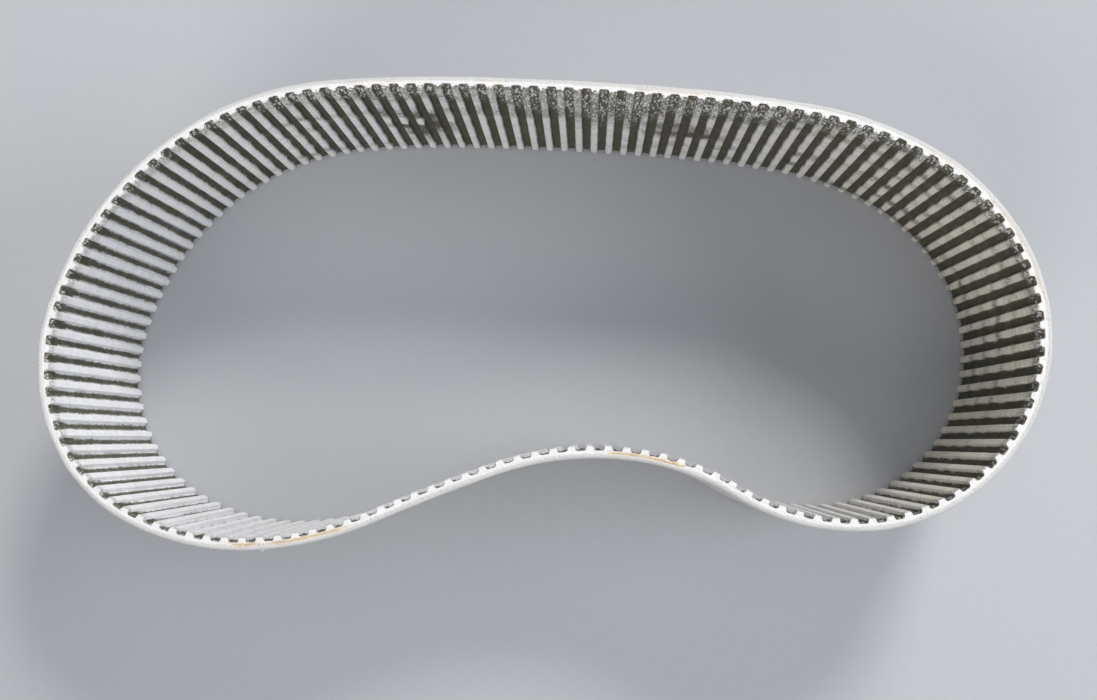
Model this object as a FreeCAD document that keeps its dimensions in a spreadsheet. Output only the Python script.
import FreeCAD, Part
import Sketcher
import PartDesign
import math
import os

# Moulded timing belt, 0.080 inch (MXL) pitch, 140 teeth, one inch wide, standing on its cut edge.
# The belt is one closed loop. It flexes everywhere, so it is laid out as twenty flex sections of
# seven teeth, joined on the pitch line at the middle of a land. Each section holds its length of
# the three things a belt is made of: the elastomer body, the tension cords and the tooth facing.
# Millimetres, +Z up out of the loop, origin under the middle of the loop's box.
# Seen from above, the sections follow one another clockwise with the teeth on the right.

doc = FreeCAD.newDocument("timing_belt")

# ---------------------------------------------------------------- driving dimensions
# alias, value (millimetres or degrees), note
SIZES = [
    ("pitch", 2.032, "tooth pitch, MXL"),
    ("teeth_per_section", 7, "teeth in one flex section"),
    ("belt_width", 25.4, "width, one inch"),
    ("back_depth", 0.716, "pitch line out to the back"),
    ("land_depth", 0.254, "pitch line in to the land between teeth"),
    ("tooth_height", 0.51, "land to tooth crest"),
    ("tooth_base", 0.15, "pitch line in to where a tooth outline starts, inside the backing"),
    ("root_width", 1.14, "tooth width at the land"),
    ("flank_angle", 20.0, "flank lean, half of the 40 degree included angle"),
    ("tip_radius", 0.13, "crest corner radius"),
    ("facing_thickness", 0.08, "nylon facing over the teeth"),
    ("back_round", 0.35, "worn round on the back's two edges"),
    ("cord_diameter", 0.24, "aramid cord"),
    ("cord_channel", 0.25, "channel that the cord lies in"),
    ("cord_count", 24, "turns of cord across the width"),
    ("hinge_clearance", 0.006, "each face back from a flex line"),
    ("open_clearance", 0.03, "each face back from the open flex line"),
    ("relief_margin", 0.6, "spare relief angle on each face"),
    ("relief_reach", 1.6, "pitch line to either side of an end cut"),
    ("relief_overrun", 0.5, "end cut, past the end of the section"),
    ("drive_low", -20.0, "first flex line, lower limit"),
    ("drive_high", 12.0, "first flex line, upper limit"),
    ("start_x", -10.50481, "pitch line at the start of section 01"),
    ("start_y", 26.35641, "pitch line at the start of section 01"),
    ("start_heading", -1.6176, "pitch line heading at the start of section 01"),
]
# One row for each section, 01 to 20:
# bend in degrees (negative where the teeth are outside the bend),
# turn of the flex line at the section's end for each unit of flex line 01
SECTION_TABLE = [
    (2.0, 1.0), (2.0, 0.45681), (5.65779, 0.02117), (20.88815, -0.3875),
    (32.06153, -0.73857), (37.38442, -0.64446), (37.96657, -0.16377), (38.61948, -0.0877),
    (33.23729, 0.31794), (-27.37278, 0.70318), (-23.41435, 0.49411), (-3.79894, 0.2828),
    (20.44606, 0.19457), (28.7411, 0.0), (42.79091, -0.55929), (37.97394, -0.43003),
    (21.49204, -0.43048), (24.00629, -0.53272), (23.4062, -0.12232), (5.9143, 0.62625),
]
OPEN_LINE = 14                          # the flex line that has open_clearance
SPLINE_SKINNED = ("01",)                # sections whose cords have spline surfaces
THROUGH_LENGTH = "Sizes.belt_width * 3" # symmetric cuts run well past both edges
CHANNEL_SWEEP = 1.2                     # sweep of the cord channels over the section's bend
BOX_STEPS = 200                         # steps along a section when the loop's box is measured
Z_DIRECTION = FreeCAD.Vector(0, 0, 1)

for number, (bend, ratio) in enumerate(SECTION_TABLE, start=1):
    SIZES += [
        ("turn_%02d" % number, abs(bend), "bend of section %02d" % number),
        ("side_%02d" % number, 1 if bend > 0 else -1,
         "1 where the teeth are inside the bend, -1 where outside"),
        ("ratio_%02d" % number, ratio,
         "flex line %02d turns this much per unit of flex line 01" % number),
    ]

sheet = doc.addObject("Spreadsheet::Sheet", "Sizes")
for row, (alias, value, note) in enumerate(SIZES, start=1):
    sheet.set("A%d" % row, alias)
    sheet.set("B%d" % row, ("%.6f" % value).rstrip("0").rstrip("."))
    sheet.set("C%d" % row, note)
    sheet.setAlias("B%d" % row, alias)
doc.recompute()


# ---------------------------------------------------------------- expressions with their value
class Quantity(object):
    """A sheet expression and the number it stands for."""

    def __init__(self, text, value):
        self.text = text
        self.value = value

    def __add__(self, other):
        other = quantity(other)
        return Quantity("(%s + %s)" % (self.text, other.text), self.value + other.value)

    def __sub__(self, other):
        other = quantity(other)
        return Quantity("(%s - %s)" % (self.text, other.text), self.value - other.value)

    def __mul__(self, other):
        other = quantity(other)
        return Quantity("(%s * %s)" % (self.text, other.text), self.value * other.value)

    def __truediv__(self, other):
        other = quantity(other)
        return Quantity("(%s / %s)" % (self.text, other.text), self.value / other.value)

    def __neg__(self):
        return Quantity("(0 - %s)" % self.text, -self.value)


def quantity(number):
    if isinstance(number, Quantity):
        return number
    return Quantity("(%.6f)" % number if number < 0 else "%.6f" % number, float(number))


def cell(alias):
    return Quantity("Sizes." + alias, float(sheet.get(alias)))


def cosine(angle):
    return Quantity("cos(%s * 1 deg)" % angle.text, math.cos(math.radians(angle.value)))


def sine(angle):
    return Quantity("sin(%s * 1 deg)" % angle.text, math.sin(math.radians(angle.value)))


def tangent(angle):
    return Quantity("tan(%s * 1 deg)" % angle.text, math.tan(math.radians(angle.value)))


def larger(first, second):
    return Quantity("max(%s; %s)" % (first.text, second.text), max(first.value, second.value))


ZERO = quantity(0.0)
PITCH = cell("pitch")
TEETH = cell("teeth_per_section")
WIDTH = cell("belt_width")
BACK = cell("back_depth")
LAND = cell("land_depth")
TOOTH_HEIGHT = cell("tooth_height")
TOOTH_BASE = cell("tooth_base")
FACING = cell("facing_thickness")
FLANK = cell("flank_angle")
CORD_COUNT = cell("cord_count")


# ---------------------------------------------------------------- sketch helpers
def origin_feature(body, role):
    return [feature for feature in body.Origin.OriginFeatures if feature.Role == role][0]


def new_sketch(body, name, role):
    sketch = body.newObject("Sketcher::SketchObject", name)
    sketch.AttachmentSupport = [(origin_feature(body, role), "")]
    sketch.MapMode = "FlatFace"
    return sketch


def constrain(sketch, kind, *elements, size):
    """Add a dimension to a sketch and bind it to its expression."""
    index = sketch.addConstraint(Sketcher.Constraint(kind, *elements, size.value))
    sketch.setExpression("Constraints[%d]" % index, size.text)


def pin_point(sketch, edge, end, point):
    """Fix one point of a sketch at a pair of quantities."""
    constrain(sketch, "DistanceX", -1, 1, edge, end, size=point[0])
    constrain(sketch, "DistanceY", -1, 1, edge, end, size=point[1])


def add_arc(sketch, start, end, radius, centre):
    """An arc from start to end; returns the edge and the numbers of its start and end points."""
    # a sketch arc runs anticlockwise, so it may have to start at the far point
    from_angle = math.atan2(start.y - centre.y, start.x - centre.x)
    to_angle = math.atan2(end.y - centre.y, end.x - centre.x)
    start_end, far_end = 1, 2
    if (start - centre).cross(end - centre).z <= 0:
        from_angle, to_angle = to_angle, from_angle
        start_end, far_end = 2, 1
    if to_angle < from_angle:
        to_angle += 2 * math.pi
    circle = Part.Circle(centre, Z_DIRECTION, radius)
    edge = sketch.addGeometry(Part.ArcOfCircle(circle, from_angle, to_angle), False)
    return edge, start_end, far_end


def closed_outline(sketch, points, arcs=None):
    """A pinned outline; arcs maps a segment's index to (radius, centre x, centre y)."""
    arcs = arcs or {}
    count = len(points)
    corners = [FreeCAD.Vector(x.value, y.value, 0) for x, y in points]
    edges = []
    for i in range(count):
        start, end = corners[i], corners[(i + 1) % count]
        if i in arcs:
            radius, x, y = arcs[i]
            centre = FreeCAD.Vector(x.value, y.value, 0)
            edges.append(add_arc(sketch, start, end, radius.value, centre))
        else:
            edge = sketch.addGeometry(Part.LineSegment(start, end), False)
            edges.append((edge, 1, 2))
    for i in range(count):
        edge, _, far_end = edges[i]
        next_edge, next_start, _ = edges[(i + 1) % count]
        sketch.addConstraint(
            Sketcher.Constraint("Coincident", edge, far_end, next_edge, next_start))
    for (edge, start_end, _), point in zip(edges, points):
        pin_point(sketch, edge, start_end, point)
    for i in arcs:
        constrain(sketch, "Radius", edges[i][0], size=arcs[i][0])


# ---------------------------------------------------------------- where each section lies
def along_arc(start, heading, length, swing):
    """The point reached from start after an arc of this length that swings the heading."""
    chord = length * math.sin(swing / 2.0) / (swing / 2.0)
    direction = heading + swing / 2.0
    return (start[0] + chord * math.cos(direction), start[1] + chord * math.sin(direction))


class Section(object):
    """One flex section: an arc of the pitch line, local X from its centre to its middle."""

    def __init__(self, number, start, heading):
        self.tag = "%02d" % number
        self.turn = cell("turn_" + self.tag)
        self.side = cell("side_" + self.tag)
        self.radius = PITCH * TEETH * 180.0 / (self.turn * math.pi)
        self.line_before = len(SECTION_TABLE) if number == 1 else number - 1
        self.line_after = number

        length = PITCH.value * TEETH.value
        swing = -self.side.value * math.radians(self.turn.value)
        middle = along_arc(start, heading, length / 2.0, swing / 2.0)
        middle_heading = heading + swing / 2.0
        # the teeth point to the right of the heading
        to_centre = self.radius.value * self.side.value
        self.centre = (middle[0] + math.sin(middle_heading) * to_centre,
                       middle[1] - math.cos(middle_heading) * to_centre)
        self.angle = math.degrees(math.atan2(middle[1] - self.centre[1],
                                             middle[0] - self.centre[0]))
        self.end = along_arc(start, heading, length, swing)
        self.end_heading = heading + swing

    def radius_at(self, depth):
        """Radius of a surface this far from the pitch line towards the teeth."""
        return self.radius - self.side * depth

    def first_tooth_angle(self):
        return -(self.turn / TEETH * (TEETH - 1.0) / 2.0)


def lay_out_sections():
    """All the sections end to end, with the middle of the back surface's box at the origin."""
    sections = []
    start = (cell("start_x").value, cell("start_y").value)
    heading = math.radians(cell("start_heading").value)
    for number in range(1, len(SECTION_TABLE) + 1):
        section = Section(number, start, heading)
        sections.append(section)
        start, heading = section.end, section.end_heading

    xs, ys = [], []
    for section in sections:
        radius = section.radius_at(-BACK).value
        for j in range(BOX_STEPS + 1):
            angle = math.radians(section.angle + section.turn.value * (j / BOX_STEPS - 0.5))
            xs.append(section.centre[0] + radius * math.cos(angle))
            ys.append(section.centre[1] + radius * math.sin(angle))
    middle_x = (min(xs) + max(xs)) / 2.0
    middle_y = (min(ys) + max(ys)) / 2.0
    for section in sections:
        section.centre = (section.centre[0] - middle_x, section.centre[1] - middle_y)
    return sections


# ---------------------------------------------------------------- features the pieces share
def new_body(name):
    body = doc.addObject("PartDesign::Body", name)
    body.Label = name
    return body


def place_body(body, section):
    body.Placement = FreeCAD.Placement(
        FreeCAD.Vector(section.centre[0], section.centre[1], 0),
        FreeCAD.Rotation(Z_DIRECTION, section.angle))


def turn_about_z(body, kind, name, sketch, angle):
    """A revolution or groove of the sketch, half of the angle to each side of local X."""
    feature = body.newObject(kind, name)
    feature.Profile = sketch
    feature.ReferenceAxis = (origin_feature(body, "Z_Axis"), [""])
    feature.Type = "Angle"
    feature.Midplane = True
    feature.setExpression("Angle", angle.text)
    return feature


def line_clearance(line):
    return cell("open_clearance") if line == OPEN_LINE else cell("hinge_clearance")


def relief_angle(line, towards_back):
    """Half of the angle that closes at a flex line, with a margin, on the back or tooth side."""
    ratio = cell("ratio_%02d" % line)
    low, high = ratio * cell("drive_low"), ratio * cell("drive_high")
    if not towards_back:
        low, high = -low, -high
    return larger(low, high) / 2.0 + cell("relief_margin")


def cut_ends(body, section):
    """Both ends are cut back to two shallow planes that meet on the pitch line."""
    sketch = new_sketch(body, "end_relief_" + body.Label, "XY_Plane")
    half_turn = section.turn / 2.0
    reach = cell("relief_reach")
    overrun = cell("relief_overrun")
    for end in (1, -1):
        # travelling clockwise, a section that bends towards its teeth starts at its + end
        starts_here = end * section.side.value > 0
        line = section.line_before if starts_here else section.line_after
        clearance = line_clearance(line)
        angle = half_turn if end > 0 else -half_turn

        def end_point(depth, out):
            """A point by its depth towards the teeth and its distance out past the end."""
            radius = section.radius - section.side * depth
            across = out if end > 0 else -out
            return (radius * cosine(angle) - across * sine(angle),
                    radius * sine(angle) + across * cosine(angle))

        back_relief = relief_angle(line, True)
        tooth_relief = relief_angle(line, False)
        closed_outline(sketch, [
            end_point(-reach, overrun),
            end_point(-reach, -clearance - reach * tangent(back_relief)),
            end_point(ZERO, -clearance),
            end_point(reach, -clearance - reach * tangent(tooth_relief)),
            end_point(reach, overrun),
        ])
    pocket = body.newObject("PartDesign::Pocket", "end_cut_" + body.Label)
    pocket.Profile = sketch
    pocket.Type = "Length"
    pocket.SideType = "Symmetric"
    pocket.setExpression("Length", THROUGH_LENGTH)
    body.Tip = pocket


def tooth_outline(section, base, cover):
    """Points and arcs of a tooth from a base depth to its crest, drawn in by cover all round."""
    crest = LAND + TOOTH_HEIGHT - cover
    half_root = cell("root_width") / 2.0 - cover / cosine(FLANK)
    lean = tangent(FLANK)
    tip_radius = cell("tip_radius") - cover
    setback = tip_radius * tangent((quantity(90.0) - FLANK) / 2.0)

    def half_width(depth):
        return half_root - (depth - LAND) * lean

    flank_end = crest - setback * cosine(FLANK)
    half_tip = half_width(crest) - setback
    points = [
        (section.radius_at(base), half_width(base)),
        (section.radius_at(flank_end), half_width(flank_end)),
        (section.radius_at(crest), half_tip),
        (section.radius_at(crest), -half_tip),
        (section.radius_at(flank_end), -half_width(flank_end)),
        (section.radius_at(base), -half_width(base)),
    ]
    arc_x = section.radius_at(crest - tip_radius)
    arcs = {1: (tip_radius, arc_x, half_tip), 3: (tip_radius, arc_x, -half_tip)}
    return points, arcs


def row_of_teeth(body, section, name, base, cover, cut=False):
    """A tooth, or a tooth-shaped cut, at the first place and its pattern across the section."""
    sketch = new_sketch(body, name + "_outline_" + body.Label, "XY_Plane")
    points, arcs = tooth_outline(section, base, cover)
    closed_outline(sketch, points, arcs)
    kind = "PartDesign::Pocket" if cut else "PartDesign::Pad"
    tooth = body.newObject(kind, name + "_" + body.Label)
    tooth.Profile = sketch
    tooth.Type = "Length"
    if cut:
        tooth.SideType = "Symmetric"
    tooth.setExpression("Length", THROUGH_LENGTH if cut else WIDTH.text)
    pattern = body.newObject("PartDesign::PolarPattern", name + "_row_" + body.Label)
    pattern.Originals = [tooth]
    pattern.Axis = (origin_feature(body, "Z_Axis"), [""])
    pattern.setExpression("Angle", (section.turn / TEETH * (TEETH - 1.0)).text)
    pattern.Occurrences = int(TEETH.value)
    first_angle = section.first_tooth_angle()
    sketch.AttachmentOffset = FreeCAD.Placement(
        FreeCAD.Vector(0, 0, 0), FreeCAD.Rotation(Z_DIRECTION, first_angle.value))
    sketch.setExpression("AttachmentOffset.Rotation.Angle", first_angle.text)
    body.Tip = pattern


def cord_circles(sketch, section, diameter):
    """One circle on the pitch line for each turn of cord, evenly spaced across the width."""
    for i in range(int(CORD_COUNT.value)):
        z = WIDTH * (i + 0.5) / CORD_COUNT
        centre = FreeCAD.Vector(section.radius.value, z.value, 0)
        circle = sketch.addGeometry(
            Part.Circle(centre, Z_DIRECTION, diameter.value / 2.0), False)
        pin_point(sketch, circle, 3, (section.radius, z))
        constrain(sketch, "Diameter", circle, size=diameter)


# ---------------------------------------------------------------- the three pieces of a section
def belt_body(section):
    """Backing and moulded teeth in one moulding, with the channels that the cords fill."""
    body = new_body("belt_body_" + section.tag)
    sketch = new_sketch(body, "back_section_" + section.tag, "XZ_Plane")
    back_round = cell("back_round")
    inner = section.radius_at(LAND - FACING)
    outer = section.radius_at(-BACK)
    shoulder = section.radius_at(back_round - BACK)
    points = [
        (inner, ZERO),
        (shoulder, ZERO),
        (outer, back_round),
        (outer, WIDTH - back_round),
        (shoulder, WIDTH),
        (inner, WIDTH),
    ]
    arcs = {1: (back_round, shoulder, back_round),
            3: (back_round, shoulder, WIDTH - back_round)}
    closed_outline(sketch, points, arcs)
    turn_about_z(body, "PartDesign::Revolution", "backing_" + section.tag, sketch, section.turn)
    row_of_teeth(body, section, "tooth", TOOTH_BASE, FACING)
    cut_ends(body, section)
    channels = new_sketch(body, "channel_section_" + section.tag, "XZ_Plane")
    cord_circles(channels, section, cell("cord_channel"))
    body.Tip = turn_about_z(body, "PartDesign::Groove", "cord_channels_" + section.tag,
                            channels, section.turn * CHANNEL_SWEEP)
    place_body(body, section)
    return body


def tension_cords(section):
    """The turns of tension cord that lie in this section."""
    label = "tension_cords_" + section.tag
    as_splines = section.tag in SPLINE_SKINNED
    body = new_body("cord_turns_" + section.tag if as_splines else label)
    body.AllowCompound = True
    sketch = new_sketch(body, "cord_section_" + section.tag, "XZ_Plane")
    cord_circles(sketch, section, cell("cord_diameter"))
    turn_about_z(body, "PartDesign::Revolution", "cords_" + section.tag, sketch, section.turn)
    cut_ends(body, section)
    place_body(body, section)
    return spline_skinned(body, label) if as_splines else body


def spline_skinned(body, label):
    """The same cords with spline surfaces: a tube that bends this little is almost straight."""
    doc.recompute()
    shape = body.Shape.copy()
    shape.Placement = FreeCAD.Placement()
    feature = doc.addObject("Part::Feature", label)
    feature.Label = label
    feature.Shape = shape.toNurbs()
    feature.Placement = body.Placement
    return feature


def tooth_facing(section):
    """The woven facing: over the lands, up the flanks and across the crests."""
    body = new_body("tooth_facing_" + section.tag)
    sketch = new_sketch(body, "facing_section_" + section.tag, "XZ_Plane")
    near = section.radius_at(LAND - FACING)
    far = section.radius_at(LAND)
    closed_outline(sketch, [(near, ZERO), (far, ZERO), (far, WIDTH), (near, WIDTH)])
    turn_about_z(body, "PartDesign::Revolution", "lands_" + section.tag, sketch, section.turn)
    # full-size teeth, hollowed by the moulded tooth that fills them
    row_of_teeth(body, section, "cap", LAND - FACING / 2.0, ZERO)
    row_of_teeth(body, section, "hollow", TOOTH_BASE, FACING, cut=True)
    cut_ends(body, section)
    place_body(body, section)
    return body


# ---------------------------------------------------------------- build
parts = []
for section in lay_out_sections():
    parts += [belt_body(section), tension_cords(section), tooth_facing(section)]
doc.recompute()

# ---------------------------------------------------------------- check and export
for obj in doc.Objects:
    bad = [state for state in obj.State if state in ("Invalid", "Error")]
    if bad:
        raise RuntimeError("%s is %s" % (obj.Name, bad))
os.makedirs("parts", exist_ok=True)
for part in parts:
    shape = part.Shape
    if shape.isNull() or not shape.isValid():
        raise RuntimeError("%s has no valid shape" % part.Label)
    shape.exportStep("parts/%s.step" % part.Label)
